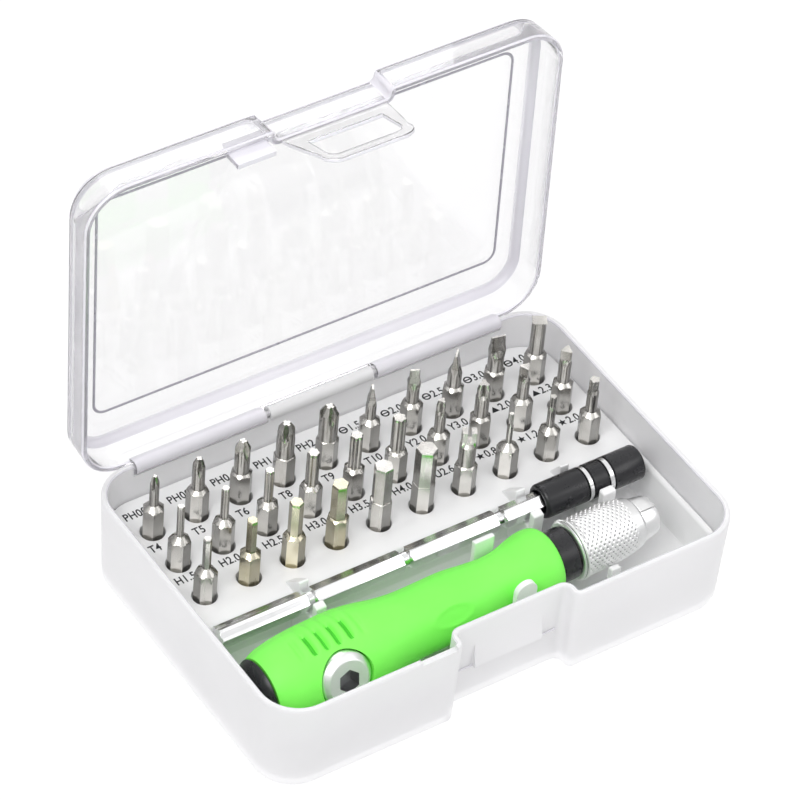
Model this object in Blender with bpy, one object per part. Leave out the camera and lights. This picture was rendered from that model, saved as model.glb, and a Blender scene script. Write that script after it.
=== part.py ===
"""Pocket precision screwdriver set: clear hinged case, tray, 30 bits, grip handle and extension.

Case frame: origin at the middle of the base's flat underside, X along the length,
+Y towards the hinge, +Z up.  Sizes below are millimetres; MM converts them to metres.
"""
import math

import bmesh
import bpy
from mathutils import Matrix, Vector

MM = 0.001

# Case shell
CASE_HALF_LENGTH = 53.9
CASE_HALF_WIDTH = 36.3
CASE_CORNER = 9.0
BASE_HEIGHT = 21.7
BASE_FLOOR = 1.2
CASE_WALL = 1.3
PARTING_GAP = 0.3
LID_TOP = 30.3
LID_PANEL = 0.9

# Finger recess in the middle of the front, shared by base and lid
RECESS_CENTRE = 0.2
RECESS_HALF_WIDTH = 12.8
BASE_RECESS_DEPTH = 3.6
LID_RECESS_DEPTH = 2.4

# Rear hinge
HINGE_Y = 35.75
HINGE_Z = 20.85
HINGE_RADIUS = 1.5
HINGE_BORE = 0.95
HINGE_PIN = 0.6
HINGE_SPLIT = 12.5
HINGE_END = 43.0
LID_OPEN_DEG = 91.3

# Latch tab on the lid's recess wall
TAB_ROOT_Y = -33.45
TAB_ROOT_Z = 21.7
TAB_LENGTH = 15.0
TAB_THICKNESS = 0.9
TAB_FLARE_DEG = 17.0

# Tray
DECK_Z = 13.25
DECK_THICKNESS = 1.4
TRAY_BOTTOM = 1.5
TRAY_INSET = 1.95
CHANNEL_BACK_Y = -2.5
CHANNEL_FLOOR_Z = 3.6
HOLE_RADIUS = 2.7
TUBE_RADIUS = 3.6

# Bits
BIT_PITCH_X = 10.0
BIT_PITCH_Y = 9.8
BIT_GRID_X = 0.28
BIT_GRID_Y = 15.3
BIT_BOTTOM_Z = 1.5
BIT_TOP_Z = 29.1
BIT_SHANK_TOP_Z = 20.0
BIT_AF = 4.0

# Extension rod and its black sleeve
ROD_Y = -6.3
ROD_Z = 14.65
ROD_TURN_DEG = 7.7
ROD_LEFT = -49.6
SLEEVE_LEFT = 25.2
SLEEVE_RIGHT = 48.8
SLEEVE_RADIUS = 3.65

# Handle axis
HANDLE_Y = -20.08
HANDLE_Z = 13.59
HANDLE_YAW = 0.0147
HANDLE_PITCH = 0.0196
GRIP_BORE = 4.5
CORE_RADIUS = 4.2
SOCKET_X = -34.0
SOCKET_TILT_DEG = 21.0

SIDES = 12


def remove_everything():
    for thing in list(bpy.data.objects):
        bpy.data.objects.remove(thing, do_unlink=True)


def make_material(name, colour, roughness, metallic=0.0, alpha=1.0):
    material = bpy.data.materials.new(name)
    material.use_nodes = True
    shader = material.node_tree.nodes["Principled BSDF"]
    shader.inputs["Base Color"].default_value = (*colour, 1.0)
    shader.inputs["Roughness"].default_value = roughness
    shader.inputs["Metallic"].default_value = metallic
    shader.inputs["Alpha"].default_value = alpha
    return material


def link_object(name, bm, material, location=(0, 0, 0), rotation=(0, 0, 0), parent=None, smooth=True):
    """Turn a closed bmesh in millimetres into a named object."""
    bmesh.ops.remove_doubles(bm, verts=bm.verts, dist=1e-6)
    bmesh.ops.recalc_face_normals(bm, faces=bm.faces)
    bmesh.ops.scale(bm, vec=(MM, MM, MM), verts=bm.verts)
    mesh = bpy.data.meshes.new(name)
    bm.to_mesh(mesh)
    bm.free()
    if smooth:
        mesh.shade_smooth()
        mesh.set_sharp_from_angle(angle=math.radians(35))
    thing = bpy.data.objects.new(name, mesh)
    if material:
        mesh.materials.append(material)
    bpy.context.scene.collection.objects.link(thing)
    thing.location = Vector(location) * MM
    thing.rotation_euler = rotation
    thing.parent = parent
    return thing


def empty(name, location, rotation=(0, 0, 0), parent=None):
    thing = bpy.data.objects.new(name, None)
    bpy.context.scene.collection.objects.link(thing)
    thing.location = Vector(location) * MM
    thing.rotation_euler = rotation
    thing.parent = parent
    return thing


def add_loop(bm, points):
    """Closed ring of vertices and edges."""
    verts = [bm.verts.new(point) for point in points]
    for first, second in zip(verts, verts[1:] + verts[:1]):
        bm.edges.new((first, second))
    return verts


def add_wall(bm, low, high):
    count = len(low)
    for i in range(count):
        j = (i + 1) % count
        bm.faces.new((low[i], low[j], high[j], high[i]))


def add_cap(bm, *loops):
    """Flat face filling the first loop, with the other loops left as holes."""
    edges = []
    for loop in loops:
        for first, second in zip(loop, loop[1:] + loop[:1]):
            edges.append(bm.edges.get((first, second)))
    bmesh.ops.triangle_fill(bm, edges=edges, use_beauty=True, use_dissolve=False)


def flat(points, z):
    return [(x, y, z) for x, y in points]


def arc(cx, cy, radius, start_deg, end_deg, segments):
    angles = [math.radians(start_deg + (end_deg - start_deg) * i / segments) for i in range(segments + 1)]
    return [(cx + radius * math.cos(a), cy + radius * math.sin(a)) for a in angles]


def case_outline(inset, recess_depth, back=CASE_HALF_WIDTH):
    """Counter-clockwise plan outline of the case, moved inwards by inset, with the front recess."""
    hx = CASE_HALF_LENGTH - inset
    front = -CASE_HALF_WIDTH + inset
    rear = back - inset
    corner = max(CASE_CORNER - inset, 1.0)
    left = RECESS_CENTRE - RECESS_HALF_WIDTH - inset
    right = RECESS_CENTRE + RECESS_HALF_WIDTH + inset
    outer = max(min(2.6, recess_depth / 2) - inset, 0.4)
    inner = min(1.2 + inset, recess_depth - outer - 0.05)
    deep = front + recess_depth
    points = arc(-hx + corner, front + corner, corner, 180, 270, 6)
    points += arc(left - outer, front + outer, outer, -90, 0, 3)
    points += arc(left + inner, deep - inner, inner, 180, 90, 3)
    points += arc(right - inner, deep - inner, inner, 90, 0, 3)
    points += arc(right + outer, front + outer, outer, 180, 270, 3)
    points += arc(hx - corner, front + corner, corner, -90, 0, 6)
    points += arc(hx - corner, rear - corner, corner, 0, 90, 6)
    points += arc(-hx + corner, rear - corner, corner, 90, 180, 6)
    return points


def stack(bm, stations, outline):
    """Loft one outline function through (height, inset) stations and return its first and last loops."""
    loops = [add_loop(bm, flat(outline(inset), z)) for z, inset in stations]
    for low, high in zip(loops, loops[1:]):
        add_wall(bm, low, high)
    return loops[0], loops[-1]


def shell_body(outer_stations, inner_stations, recess_depth):
    """Tub-shaped shell: outer skin, rim and inner skin with two closed panels."""
    bm = bmesh.new()

    def outline(inset):
        return case_outline(inset, recess_depth)

    outer_floor, outer_rim = stack(bm, outer_stations, outline)
    inner_rim, inner_floor = stack(bm, inner_stations, outline)
    add_wall(bm, outer_rim, inner_rim)
    add_cap(bm, outer_floor)
    add_cap(bm, inner_floor)
    return bm


def add_box(bm, low, high):
    centre = (Vector(low) + Vector(high)) / 2
    size = Vector(high) - Vector(low)
    matrix = Matrix.Translation(centre) @ Matrix.Diagonal((*size, 1.0))
    bmesh.ops.create_cube(bm, size=1.0, matrix=matrix)


def add_prism_x(bm, profile, x_low, x_high):
    """Extrude a (y, z) profile along X."""
    first = add_loop(bm, [(x_low, y, z) for y, z in profile])
    second = add_loop(bm, [(x_high, y, z) for y, z in profile])
    add_wall(bm, first, second)
    add_cap(bm, first)
    add_cap(bm, second)


def add_cylinder_x(bm, y, z, radius, x_low, x_high, sides=16):
    profile = [(y + radius * math.cos(a), z + radius * math.sin(a))
               for a in (2 * math.pi * (i + 0.5) / sides for i in range(sides))]
    add_prism_x(bm, profile, x_low, x_high)


def shift(bm, offset):
    bmesh.ops.translate(bm, vec=offset, verts=bm.verts)


def boolean(target, operation, bm, name, offset=(0, 0, 0)):
    """Cut or join a helper solid that shares the target's placement."""
    shift(bm, offset)
    cutter = link_object(name, bm, None, smooth=False)
    cutter.parent = target
    cutter.hide_render = True
    cutter.display_type = "WIRE"
    modifier = target.modifiers.new(name, "BOOLEAN")
    modifier.operation = operation
    modifier.solver = "EXACT"
    modifier.object = cutter
    return modifier


def build_base(material):
    bm = shell_body(
        [(0.0, 1.7), (0.5, 1.0), (1.4, 0.6), (21.2, 0.0), (BASE_HEIGHT, 0.25)],
        [(BASE_HEIGHT, 1.05), (21.2, CASE_WALL), (2.4, 1.62), (BASE_FLOOR, 2.6)],
        BASE_RECESS_DEPTH)
    base = link_object("case_base", bm, material)

    notches = bmesh.new()
    for side in (-1, 1):
        ends = sorted((side * HINGE_SPLIT, side * (HINGE_END + 0.3)))
        add_box(notches, (ends[0], 33.6, HINGE_Z - HINGE_RADIUS - 0.3), (ends[1], 38.0, 24.0))
    add_box(notches, (-22.4, -38.0, BASE_HEIGHT - 0.8), (-14.4, -33.6, 24.0))
    boolean(base, "DIFFERENCE", notches, "base_notches")

    added = bmesh.new()
    add_cylinder_x(added, HINGE_Y, HINGE_Z, HINGE_RADIUS, -HINGE_SPLIT + 0.4, HINGE_SPLIT - 0.4)
    ledge = [(-32.35, 17.2), (-33.5, 10.4), (-33.5, 9.65), (-31.9, 9.65), (-31.9, 17.2)]
    add_prism_x(added, ledge, RECESS_CENTRE - 7.8, RECESS_CENTRE + 7.8)
    boolean(base, "UNION", added, "base_knuckle_and_ledge")

    bore = bmesh.new()
    add_cylinder_x(bore, HINGE_Y, HINGE_Z, HINGE_BORE, -HINGE_SPLIT - 1, HINGE_SPLIT + 1, 12)
    boolean(base, "DIFFERENCE", bore, "base_hinge_bore")
    return base


def build_hinge_pin(material):
    bm = bmesh.new()
    add_cylinder_x(bm, HINGE_Y, HINGE_Z, HINGE_PIN, -HINGE_END + 0.5, HINGE_END - 0.5, 10)
    return link_object("hinge_pin", bm, material)


def build_lid(material):
    """Lid modelled shut, then turned open about the hinge axis."""
    to_axis = (0, -HINGE_Y, -HINGE_Z)
    low = BASE_HEIGHT + PARTING_GAP
    bm = shell_body(
        [(LID_TOP, 1.9), (LID_TOP - 0.4, 0.9), (LID_TOP - 1.4, 0.45), (low + 0.4, 0.0), (low, 0.2)],
        [(low, 1.0), (low + 0.4, 1.2), (LID_TOP - 2.0, 1.6), (LID_TOP - LID_PANEL, 2.9)],
        LID_RECESS_DEPTH)
    shift(bm, to_axis)
    lid = link_object("case_lid", bm, material, (0, HINGE_Y, HINGE_Z), (math.radians(-LID_OPEN_DEG), 0, 0))

    middle = bmesh.new()
    add_box(middle, (-HINGE_SPLIT - 0.3, 34.2, 20.0), (HINGE_SPLIT + 0.3, 38.0, HINGE_Z + HINGE_RADIUS + 0.35))
    boolean(lid, "DIFFERENCE", middle, "lid_middle_notch", to_axis)

    added = bmesh.new()
    for side in (-1, 1):
        x_low, x_high = sorted((side * (HINGE_SPLIT + 0.6), side * HINGE_END))
        barrel = [(HINGE_Y + HINGE_RADIUS * math.cos(a), HINGE_Z + HINGE_RADIUS * math.sin(a))
                  for a in (math.radians(150 + i * 240 / 12) for i in range(13))]
        barrel += [(36.1, 23.2), (35.3, 23.2)]
        add_prism_x(added, barrel, x_low, x_high)
    lug = [(-35.6, 24.6), (-35.6, 22.3), (-34.7, 22.3), (-34.7, 18.7), (-33.6, 18.7), (-33.6, 23.8), (-34.6, 24.6)]
    add_prism_x(added, lug, -23.0, -14.6)
    boolean(lid, "UNION", added, "lid_knuckles_and_lug", to_axis)

    bore = bmesh.new()
    add_cylinder_x(bore, HINGE_Y, HINGE_Z, HINGE_BORE, -HINGE_END - 1, HINGE_END + 1, 12)
    boolean(lid, "DIFFERENCE", bore, "lid_hinge_bore", to_axis)
    return lid


def build_latch_tab(material, lid):
    """Flared tab with a catch window, on its own living-hinge axis under the lid's recess wall."""
    half_widths = [(0.15, 11.8), (6.0, 10.9), (11.0, 9.7), (13.4, 8.6), (TAB_LENGTH, 6.6)]
    outline = [(half, -d) for d, half in half_widths]
    outline += [(-half, -d) for d, half in reversed(half_widths)]
    window = arc(6.2, -10.4, 2.0, -90, 0, 3) + [(8.2, -4.1), (-8.2, -4.1)] + arc(-6.2, -10.4, 2.0, 180, 270, 3)
    bm = bmesh.new()
    front = [(x, -TAB_THICKNESS / 2, z) for x, z in outline]
    rear = [(x, TAB_THICKNESS / 2, z) for x, z in outline]
    front_hole = [(x, -TAB_THICKNESS / 2, z) for x, z in window]
    rear_hole = [(x, TAB_THICKNESS / 2, z) for x, z in window]
    loops = [add_loop(bm, points) for points in (front, rear, front_hole, rear_hole)]
    add_wall(bm, loops[0], loops[1])
    add_wall(bm, loops[2], loops[3])
    add_cap(bm, loops[0], loops[2])
    add_cap(bm, loops[1], loops[3])
    place = (RECESS_CENTRE, TAB_ROOT_Y - HINGE_Y, TAB_ROOT_Z - HINGE_Z)
    return link_object("latch_tab", bm, material, place, (-math.radians(TAB_FLARE_DEG), 0, 0), lid)


def bit_positions():
    for row, row_offset in enumerate((1, 0, -1)):
        for column in range(10):
            yield row, column, BIT_GRID_X + (column - 4.5) * BIT_PITCH_X, BIT_GRID_Y + row_offset * BIT_PITCH_Y


def circle(x, y, radius, sides=SIDES):
    return [(x + radius * math.cos(a), y + radius * math.sin(a))
            for a in (2 * math.pi * i / sides for i in range(sides))]


def channel_outline():
    """Plan of the front channel: the case outline moved in, cut off behind the rod."""
    inset = TRAY_INSET + 1.0
    points = case_outline(inset, BASE_RECESS_DEPTH)[:-14]
    hx = CASE_HALF_LENGTH - inset
    points += arc(hx - 1.5, CHANNEL_BACK_Y - 1.5, 1.5, 0, 90, 3)
    points += arc(-hx + 1.5, CHANNEL_BACK_Y - 1.5, 1.5, 90, 180, 3)
    return points


def cavity_outline():
    """Plan of the hollow under the deck."""
    hx = CASE_HALF_LENGTH - TRAY_INSET - 1.2
    rear = CASE_HALF_WIDTH - TRAY_INSET - 1.2
    front = CHANNEL_BACK_Y + 1.2
    points = arc(-hx + 1.0, front + 1.0, 1.0, 180, 270, 2) + arc(hx - 1.0, front + 1.0, 1.0, -90, 0, 2)
    points += arc(hx - 6.0, rear - 6.0, 6.0, 0, 90, 4) + arc(-hx + 6.0, rear - 6.0, 6.0, 90, 180, 4)
    return points


def cradle_profile(centre_y, centre_z, radius, front_top, back_top, thickness, floor):
    """Half-round saddle with two upright arms, in (y, z)."""
    points = [(centre_y - radius - thickness, floor), (centre_y + radius + thickness, floor)]
    points += [(centre_y + radius + thickness, back_top), (centre_y + radius, back_top)]
    points += [(y, z) for y, z in arc(centre_y, centre_z, radius, 0, -180, 10)]
    points += [(centre_y - radius, front_top), (centre_y - radius - thickness, front_top)]
    return points


def rod_clip_profile(half_gap, cradle_z, front_top, back_top):
    """Clip for the extension: a post in front and a sloping fin that stands on the deck edge behind."""
    front = ROD_Y - half_gap
    back = ROD_Y + half_gap
    return [(front - 1.7, 3.0), (-1.95, 3.0), (-1.95, 12.7), (0.9, 12.7), (0.9, 13.5), (back + 0.5, back_top),
            (back, back_top), (back, cradle_z), (front, cradle_z), (front, front_top),
            (front - 1.2, front_top), (front - 1.7, front_top - 0.6)]


def sleeve_clip_profiles(half_gap, cradle_z, front_top, back_top):
    """Front block with a cradle for the sleeve, and the separate fin behind it, in (y, z)."""
    front = ROD_Y - half_gap
    back = ROD_Y + half_gap
    block = [(front - 1.9, 3.0), (back - 1.2, 3.0), (back - 1.2, cradle_z), (front, cradle_z), (front, front_top - 0.5),
             (front - 0.5, front_top), (front - 1.4, front_top), (front - 1.9, front_top - 0.5)]
    fin = [(back, 12.0), (0.9, 12.0), (0.9, 13.5), (back + 0.5, back_top), (back, back_top)]
    return block, fin


def build_tray(material):
    bm = bmesh.new()

    def outline(inset):
        return case_outline(inset, BASE_RECESS_DEPTH)

    bottom, deck = stack(bm, [(TRAY_BOTTOM, 3.2), (TRAY_BOTTOM + 1.2, TRAY_INSET), (DECK_Z, TRAY_INSET)], outline)
    channel_top = add_loop(bm, flat(channel_outline(), DECK_Z))
    channel_floor = add_loop(bm, flat(channel_outline(), CHANNEL_FLOOR_Z))
    add_wall(bm, channel_top, channel_floor)
    add_cap(bm, channel_floor)

    hole_tops = []
    tube_tops = []
    for _row, _column, x, y in bit_positions():
        hole_top = add_loop(bm, flat(circle(x, y, HOLE_RADIUS), DECK_Z))
        hole_end = add_loop(bm, flat(circle(x, y, HOLE_RADIUS), TRAY_BOTTOM))
        tube_end = add_loop(bm, flat(circle(x, y, TUBE_RADIUS), TRAY_BOTTOM))
        tube_top = add_loop(bm, flat(circle(x, y, TUBE_RADIUS), DECK_Z - DECK_THICKNESS))
        add_wall(bm, hole_top, hole_end)
        add_wall(bm, hole_end, tube_end)
        add_wall(bm, tube_end, tube_top)
        hole_tops.append(hole_top)
        tube_tops.append(tube_top)
    cavity_top = add_loop(bm, flat(cavity_outline(), DECK_Z - DECK_THICKNESS))
    cavity_end = add_loop(bm, flat(cavity_outline(), TRAY_BOTTOM))
    add_wall(bm, cavity_top, cavity_end)
    add_cap(bm, deck, channel_top, *hole_tops)
    add_cap(bm, cavity_top, *tube_tops)
    add_cap(bm, bottom, cavity_end)
    tray = link_object("insert_tray", bm, material)

    clips = bmesh.new()
    for x in (-28.2, 22.4):
        add_prism_x(clips, rod_clip_profile(2.45, 12.0, 16.4, 17.3), x - 1.2, x + 1.2)
    block, fin = sleeve_clip_profiles(3.95, 10.7, 16.4, 17.3)
    add_prism_x(clips, block, 36.7, 39.9)
    add_prism_x(clips, fin, 32.9, 35.1)
    saddle = cradle_profile(-19.97, 13.75, 6.75, 20.4, 19.4, 1.25, 3.0)
    add_prism_x(clips, saddle, 5.0, 9.8)
    add_box(clips, (28.4, -27.5, 3.0), (30.6, -26.2, 13.0))
    add_box(clips, (28.4, -13.1, 3.0), (30.6, -11.8, 13.0))
    boolean(tray, "UNION", clips, "tray_clips")
    return tray


def regular_ring(sides, apothem, phase=0.0):
    """Twelve points on a regular polygon."""
    points = []
    step = 2 * math.pi / sides
    for i in range(SIDES):
        angle = 2 * math.pi * i / SIDES
        local = (angle - phase) % step - step / 2
        radius = apothem / math.cos(local)
        points.append((radius * math.cos(angle), radius * math.sin(angle)))
    return points


def lobed_ring(lobes, outer, inner):
    """Twelve points whose radius swings between outer and inner once per lobe."""
    points = []
    for i in range(SIDES):
        angle = 2 * math.pi * i / SIDES
        radius = inner + (outer - inner) * (0.5 + 0.5 * math.cos(lobes * angle))
        points.append((radius * math.cos(angle), radius * math.sin(angle)))
    return points


def blade_ring(half_width, half_thickness):
    a, b = half_width, half_thickness
    upper = [(a, 0), (a, b), (a / 2, b), (0, b), (-a / 2, b), (-a, b)]
    return upper + [(-x, -y) for x, y in upper]


def round_ring(radius):
    return [(radius * math.cos(2 * math.pi * i / SIDES), radius * math.sin(2 * math.pi * i / SIDES))
            for i in range(SIDES)]


def loft(bm, rings):
    """Join (height, ring) sections along Z into one closed solid."""
    loops = [add_loop(bm, flat(ring, z)) for z, ring in rings]
    for low, high in zip(loops, loops[1:]):
        add_wall(bm, low, high)
    add_cap(bm, loops[0])
    add_cap(bm, loops[-1])


def tip_rings(kind, size, top):
    """Shaft radius and the sections of the working end for one bit type."""
    if kind == "ph":
        shaft = {1.0: 1.75, 0.6: 1.55}.get(size, min(2.0, 0.85 + size * 0.6))
        return shaft, [(top - 4.2, round_ring(shaft)), (top - 2.2, lobed_ring(4, shaft * 0.95, shaft * 0.5)),
                       (top, lobed_ring(4, shaft * 0.3, shaft * 0.2))]
    if kind == "sl":
        shaft = min(1.9, 0.6 + size * 0.36)
        return shaft, [(top - 5.0, round_ring(shaft)), (top - 2.0, blade_ring(size / 2, 0.42)),
                       (top, blade_ring(size / 2, 0.26))]
    if kind == "torx":
        return size / 2 + 0.15, [(top - 3.0, lobed_ring(6, size / 2, size / 2 * 0.82)),
                                 (top, lobed_ring(6, size / 2, size / 2 * 0.82))]
    if kind == "wye":
        shaft = size * 0.42 + 0.3
        return shaft, [(top - 3.4, round_ring(shaft)), (top - 1.8, lobed_ring(3, size / 2, size * 0.2)),
                       (top, lobed_ring(3, size / 2 * 0.8, size * 0.16))]
    if kind == "tri":
        return size * 0.5 + 0.25, [(top - 3.0, regular_ring(3, size * 0.3)), (top, regular_ring(3, size * 0.3))]
    if kind == "hex":
        return size / 2, [(top - 1.0, regular_ring(6, size / 2)), (top, regular_ring(6, size / 2 * 0.9))]
    if kind == "fork":
        return 1.55, [(top - 4.0, round_ring(1.55)), (top - 2.4, blade_ring(1.3, 0.45)), (top, blade_ring(1.3, 0.4))]
    shaft = size * 0.5 + 0.35
    return shaft, [(top - 2.6, lobed_ring(5, size / 2, size / 2 * 0.8)), (top, lobed_ring(5, size / 2, size / 2 * 0.8))]


BIT_ROWS = (
    (("ph000", "ph", 0.2), ("ph00", "ph", 0.4), ("ph0", "ph", 0.6), ("ph1", "ph", 1.0), ("ph2", "ph", 1.9),
     ("sl1_5", "sl", 1.5), ("sl2_0", "sl", 2.0), ("sl2_5", "sl", 2.5), ("sl3_0", "sl", 3.0), ("sl4_0", "sl", 3.8)),
    (("t4", "torx", 1.3), ("t5", "torx", 1.45), ("t6", "torx", 1.7), ("t8", "torx", 2.3), ("t9", "torx", 2.5),
     ("t10", "torx", 2.75), ("y2_0", "wye", 2.0), ("y3_0", "wye", 3.0), ("tri2_0", "tri", 2.0),
     ("tri2_3", "tri", 2.3)),
    (("h1_5", "hex", 1.5), ("h2_0", "hex", 2.0), ("h2_5", "hex", 2.5), ("h3_0", "hex", 3.0), ("h3_5", "hex", 3.5),
     ("h4_0", "hex", 3.9), ("u2_6", "fork", 2.6), ("p0_8", "star", 0.8), ("p1_2", "star", 1.2),
     ("p2_0", "star", 2.0)),
)


def build_bit(name, kind, size, x, y, material):
    hexagon = regular_ring(6, BIT_AF / 2)
    small = regular_ring(6, BIT_AF / 2 - 0.4)
    neck = round_ring(1.75)
    length = BIT_TOP_Z - BIT_BOTTOM_Z
    shank = BIT_SHANK_TOP_Z - BIT_BOTTOM_Z
    shaft, tip = tip_rings(kind, size, length)
    rings = [(0.0, small), (0.5, hexagon), (4.6, hexagon), (5.2, neck), (6.2, neck), (6.8, hexagon),
             (shank, hexagon), (shank + 1.9, round_ring(shaft))] + tip
    bm = bmesh.new()
    loft(bm, rings)
    return link_object("bit_" + name, bm, material, (x, y, BIT_BOTTOM_Z))


def build_bits(material):
    for row, column, x, y in bit_positions():
        name, kind, size = BIT_ROWS[row][column]
        build_bit(name, kind, size, x, y, material)


def lathe_x(bm, profile, sides):
    """Turn a closed (x, radius) profile about the X axis; a profile end on the axis becomes a pole."""
    rings = []
    for x, radius in profile:
        if radius == 0:
            rings.append([bm.verts.new((x, 0, 0))])
            continue
        rings.append([bm.verts.new((x, radius * math.cos(a), radius * math.sin(a)))
                      for a in (2 * math.pi * i / sides for i in range(sides))])
    return rings


def join_rings(bm, first, second):
    sides = max(len(first), len(second))
    for i in range(sides):
        j = (i + 1) % sides
        if len(first) == 1:
            bm.faces.new((first[0], second[i], second[j]))
        elif len(second) == 1:
            bm.faces.new((first[i], first[j], second[0]))
        else:
            bm.faces.new((first[i], first[j], second[j], second[i]))


def turned(profile, sides=24, closed=False):
    """Solid of revolution about X; closed joins the last ring back to the first, for a tube."""
    bm = bmesh.new()
    rings = lathe_x(bm, profile, sides)
    for first, second in zip(rings, rings[1:]):
        join_rings(bm, first, second)
    if closed:
        join_rings(bm, rings[-1], rings[0])
    return bm


def hex_prism_x(bm, across_flats, x_low, x_high, turn_deg=0.0):
    radius = across_flats / math.sqrt(3)
    angles = [math.radians(turn_deg + 60 * i) for i in range(6)]
    add_prism_x(bm, [(radius * math.cos(a), radius * math.sin(a)) for a in angles], x_low, x_high)


def build_handle(green, black, aluminium, steel):
    handle = empty("handle_axis", (0, HANDLE_Y, HANDLE_Z), (0, -HANDLE_PITCH, HANDLE_YAW))

    core = turned([(-50.3, 0), (-50.3, 5.3), (-49.8, 6.2), (-49.2, 6.7), (-48.5, 7.0), (-48.5, CORE_RADIUS),
                   (18.45, CORE_RADIUS), (18.45, 5.45), (22.65, 5.45), (22.65, 0)])
    link_object("handle_core", core, black, parent=handle)

    grip_outer = [(-48.1, 7.1), (-46.6, 7.75), (-44.0, 8.35), (-40.0, 8.85), (-34.0, 9.05), (-28.0, 8.95), (-24.0, 8.4),
                  (-20.0, 7.6), (-16.0, 7.05), (-10.0, 6.95), (-4.0, 6.9), (1.0, 6.3), (5.0, 6.0), (8.5, 6.25),
                  (11.5, 7.0), (14.0, 7.55), (15.8, 7.6), (16.9, 7.35), (17.6, 6.9), (18.0, 6.3), (18.1, 5.9)]
    grip = link_object("handle_grip", turned(grip_outer + [(18.1, GRIP_BORE), (-48.1, GRIP_BORE)], closed=True),
                       green, parent=handle)

    tilt = math.radians(SOCKET_TILT_DEG)
    seat = bmesh.new()
    add_prism_x(seat, [(y, z) for y, z in circle(0, 0, 5.9, 24)], 3.4, 14.0)
    turn_to_front = Matrix.Rotation(math.pi - tilt, 4, "X") @ Matrix.Rotation(math.pi / 2, 4, "Z")
    bmesh.ops.transform(seat, matrix=turn_to_front, verts=seat.verts)
    shift(seat, (SOCKET_X, 0, 0))
    boolean(grip, "DIFFERENCE", seat, "grip_socket_seat")

    disc = turned([(5.0, 0), (5.0, 5.6), (8.3, 5.6), (9.3, 4.5), (9.3, 0)])
    socket = link_object("side_socket", disc, aluminium, (SOCKET_X, 0, 0), parent=handle)
    socket.rotation_euler = turn_to_front.to_euler()
    hole = bmesh.new()
    hex_prism_x(hole, 4.3, 6.0, 12.0, 30)
    boolean(socket, "DIFFERENCE", hole, "side_socket_hex")

    nose = turned([(22.95, 0), (22.95, 3.0), (38.9, 3.0), (38.9, 4.55), (42.3, 4.05), (43.0, 3.4), (43.0, 0)])
    nose_object = link_object("collet_nose", nose, steel, parent=handle)
    socket_hole = bmesh.new()
    hex_prism_x(socket_hole, 4.3, 31.0, 48.0, 0)
    boolean(nose_object, "DIFFERENCE", socket_hole, "collet_hex_socket")

    magnet = turned([(31.3, 0), (31.3, 1.7), (33.5, 1.7), (33.5, 0)], 12)
    link_object("collet_magnet", magnet, steel, parent=handle)

    chuck = turned([(22.95, 5.9), (23.2, 6.2), (33.0, 6.15), (36.5, 5.6), (38.2, 5.2), (38.6, 4.9),
                    (38.6, 3.3), (22.95, 3.3)], closed=True)
    link_object("chuck_sleeve", chuck, aluminium, parent=handle)
    return handle


def build_extension(black, steel):
    axis = empty("extension_axis", (0, ROD_Y, ROD_Z))
    flats = regular_ring(6, BIT_AF / 2, 0.0)
    neck = round_ring(1.55)
    start = regular_ring(6, BIT_AF / 2 - 0.5, 0.0)
    sections = [(ROD_LEFT, start), (ROD_LEFT + 0.6, flats)]
    for x in (-28.5, -6.7, 15.5):
        sections += [(x - 1.0, flats), (x - 0.5, neck), (x + 0.5, neck), (x + 1.0, flats)]
    sections += [(33.0, flats)]
    bm = bmesh.new()
    loops = [add_loop(bm, [(x, b, a) for a, b in ring]) for x, ring in sections]
    for low, high in zip(loops, loops[1:]):
        add_wall(bm, low, high)
    add_cap(bm, loops[0])
    add_cap(bm, loops[-1])
    link_object("extension_rod", bm, steel, rotation=(math.radians(ROD_TURN_DEG), 0, 0), parent=axis)

    r = SLEEVE_RADIUS
    groove = 2.95
    bore = 2.65
    outer = [(SLEEVE_LEFT, bore), (SLEEVE_LEFT, r - 0.4), (SLEEVE_LEFT + 0.4, r),
             (35.1, r), (35.1, groove), (36.6, groove), (36.6, r), (40.0, r), (40.0, groove), (41.6, groove),
             (41.6, r), (SLEEVE_RIGHT - 0.4, r), (SLEEVE_RIGHT, r - 0.4), (SLEEVE_RIGHT, bore)]
    link_object("extension_sleeve", turned(outer, closed=True), black, parent=axis)

    for name, low, high in (("sleeve_ring_inner", 35.4, 36.3), ("sleeve_ring_outer", 40.3, 41.3)):
        ring = turned([(low, groove + 0.3), (low, r + 0.05), (high, r + 0.05), (high, groove + 0.3)], closed=True)
        link_object(name, ring, steel, parent=axis)
    magnet = turned([(33.4, 0), (33.4, 2.2), (38.0, 2.2), (38.0, 0)], 12)
    link_object("extension_magnet", magnet, steel, parent=axis)


def build():
    remove_everything()
    clear = make_material("case_plastic", (0.93, 0.93, 0.95), 0.25, alpha=0.4)
    white = make_material("tray_plastic", (0.9, 0.9, 0.9), 0.45)
    green = make_material("grip_rubber", (0.14, 0.85, 0.07), 0.5)
    black = make_material("black_plastic", (0.02, 0.02, 0.022), 0.4)
    bit_steel = make_material("bit_steel", (0.62, 0.58, 0.53), 0.32, metallic=1.0)
    chrome = make_material("rod_steel", (0.82, 0.82, 0.84), 0.15, metallic=1.0)
    aluminium = make_material("aluminium", (0.86, 0.86, 0.87), 0.3, metallic=1.0)

    build_base(clear)
    build_hinge_pin(clear)
    lid = build_lid(clear)
    build_latch_tab(clear, lid)
    build_tray(white)
    build_bits(bit_steel)
    build_handle(green, black, aluminium, chrome)
    build_extension(black, chrome)


build()
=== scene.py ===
"""Looks of the precision screwdriver set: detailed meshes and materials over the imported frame."""
import math

import bmesh
import bpy
import numpy as np
from mathutils import Euler, Matrix, Vector


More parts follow.
